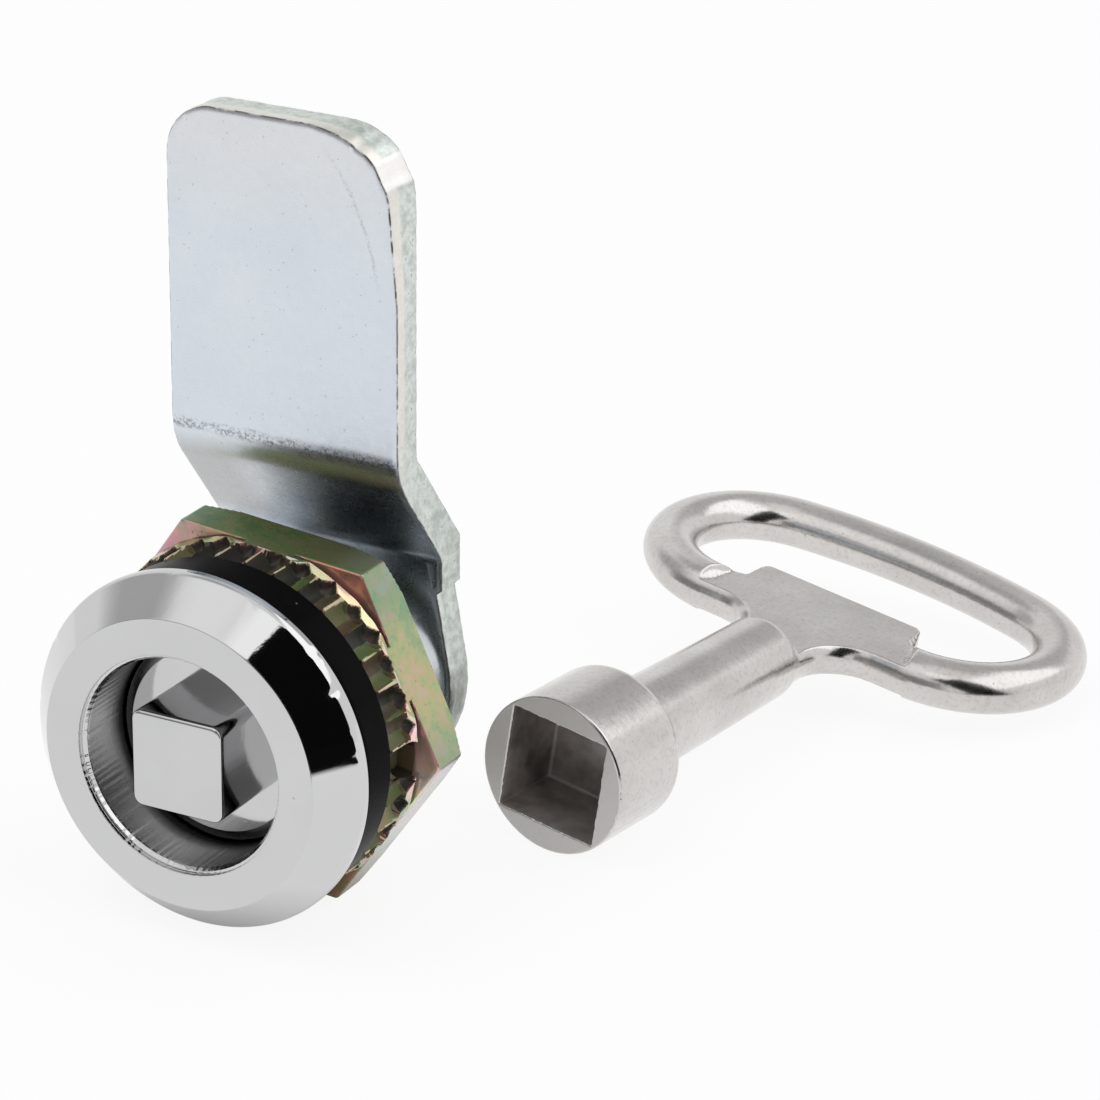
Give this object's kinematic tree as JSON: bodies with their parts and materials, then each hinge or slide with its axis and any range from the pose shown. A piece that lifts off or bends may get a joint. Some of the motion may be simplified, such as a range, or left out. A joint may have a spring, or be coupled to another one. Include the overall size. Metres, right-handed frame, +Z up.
{
  "type": "quarter-turn cam lock",
  "caption": "Quarter-turn barrel cam lock with a square drive, a fluted locking nut and a cranked cam, with its loose socket key.",
  "frame": {"origin": "on the lock's axis at the back face of the head, which clamps the gasket to the panel", "axes": "+Y along the lock's axis, from the front of the head towards the cam; +Z up along the closed cam; +X right, seen from the front"},
  "size_m": [0.0576, 0.0842, 0.0593],
  "materials": {
    "housing_chrome": "bright chrome on a zinc die casting, flat front ring brushed",
    "gasket_rubber": "smooth black rubber",
    "driver_chrome": "bright chrome",
    "seal_rubber": "greased black rubber",
    "nut_zinc": "iridescent yellow zinc plating on steel",
    "washer_zinc": "clear zinc plating on steel",
    "cam_zinc": "bluish clear zinc plating on steel strip, sheared edges rough",
    "spring_steel": "zinc-plated spring steel",
    "screw_zinc": "clear zinc plating on steel",
    "key_nickel": "satin bright nickel on a casting"
  },
  "bodies": {
    "housing": {"housing": "housing_chrome", "gasket": "gasket_rubber"},
    "driver": {"driver": "driver_chrome", "driver_seal": "seal_rubber", "stop_washer": "washer_zinc", "cam": "cam_zinc", "flat_washer": "washer_zinc", "spring_washer": "spring_steel", "cam_screw": "screw_zinc"},
    "lock_nut": {"lock_nut": "nut_zinc"},
    "key": {"key": "key_nickel"}
  },
  "joints": [
    {"name": "quarter_turn", "type": "hinge", "parent": "housing", "child": "driver", "pos_m": [0, 0, 0], "axis": [0, -1, 0], "range_deg": [0, 90]},
    {"name": "nut_travel", "type": "slide", "parent": "housing", "child": "lock_nut", "axis": [0, 1, 0], "range_m": [0, 0.0025]},
    {"name": "key_lift", "type": "slide", "parent": "housing", "child": "key", "axis": [0, 0, 1], "range_m": [0, 0.06]}
  ]
}
